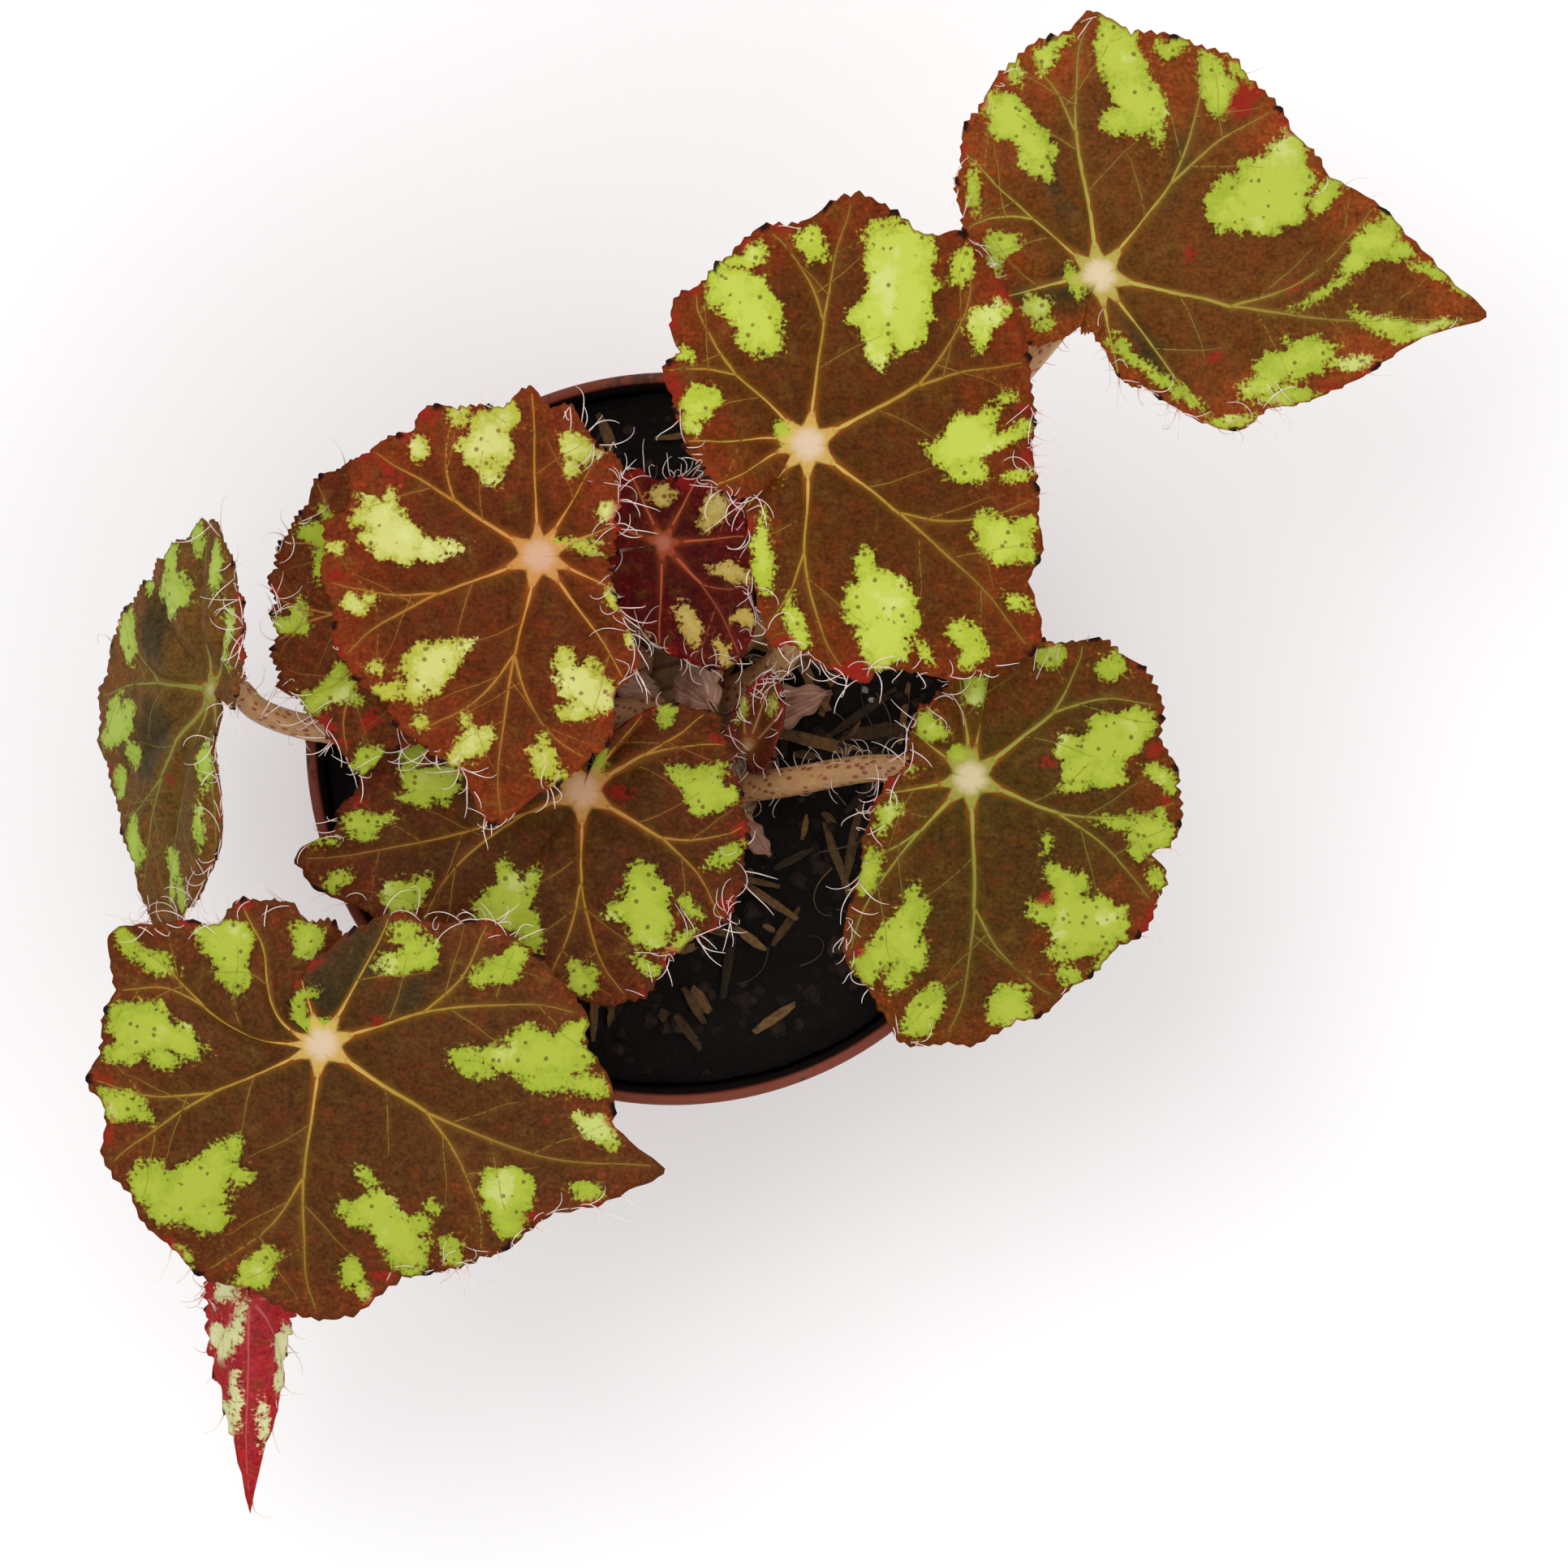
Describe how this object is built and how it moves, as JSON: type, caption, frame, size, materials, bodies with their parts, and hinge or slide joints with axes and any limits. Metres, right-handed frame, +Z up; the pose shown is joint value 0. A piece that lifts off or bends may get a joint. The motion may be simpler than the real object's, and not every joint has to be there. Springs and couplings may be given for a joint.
{
  "type": "potted begonia",
  "caption": "Rhizomatous begonia with brown, lime-blotched, hair-fringed leaves on long stalks, growing in peat in a round terracotta-coloured plastic nursery pot.",
  "frame": {"origin": "centre of the pot's base, on the surface that it stands on", "axes": "+Z up out of the pot, +X to the right and +Y to the top of the plan view in the picture"},
  "size_m": [0.2282, 0.2444, 0.1554],
  "materials": {
    "pot_plastic": "satin terracotta-coloured plastic",
    "peat": "loose dark peat with fibres and bark",
    "rhizome": "rough green-brown stem with leaf scars",
    "leaf_blade": "satin brown leaf with lime-green blotches and yellow veins",
    "young_blade": "satin wine-red young leaf with cream blotches",
    "underside": "crimson leaf underside with cream stripes",
    "leaf_stalk": "tan stalk with red-brown dashes",
    "stipule": "dry papery scale"
  },
  "bodies": {
    "root": {"pot": "pot_plastic", "peat": "peat", "rhizome": "rhizome", "leaf_upper_right_stalk": "leaf_stalk", "leaf_upper_right_blade": "leaf_blade", "leaf_upper_middle_stalk": "leaf_stalk", "leaf_upper_middle_blade": "leaf_blade", "leaf_left_centre_stalk": "leaf_stalk", "leaf_left_centre_blade": "leaf_blade", "leaf_left_behind_stalk": "leaf_stalk", "leaf_left_behind_blade": "leaf_blade", "leaf_far_left_stalk": "leaf_stalk", "leaf_far_left_blade": "leaf_blade", "leaf_lower_centre_stalk": "leaf_stalk", "leaf_lower_centre_blade": "leaf_blade", "leaf_lower_left_stalk": "leaf_stalk", "leaf_lower_left_blade": "leaf_blade", "leaf_right_stalk": "leaf_stalk", "leaf_right_blade": "leaf_blade", "leaf_young_red_stalk": "leaf_stalk", "leaf_young_red_blade": "young_blade", "leaf_unfurling_stalk": "leaf_stalk", "leaf_unfurling_blade": "underside", "leaf_bud_stalk": "leaf_stalk", "leaf_bud_blade": "leaf_blade", "stipule_1": "stipule", "stipule_2": "stipule", "stipule_3": "stipule"}
  },
  "joints": []
}
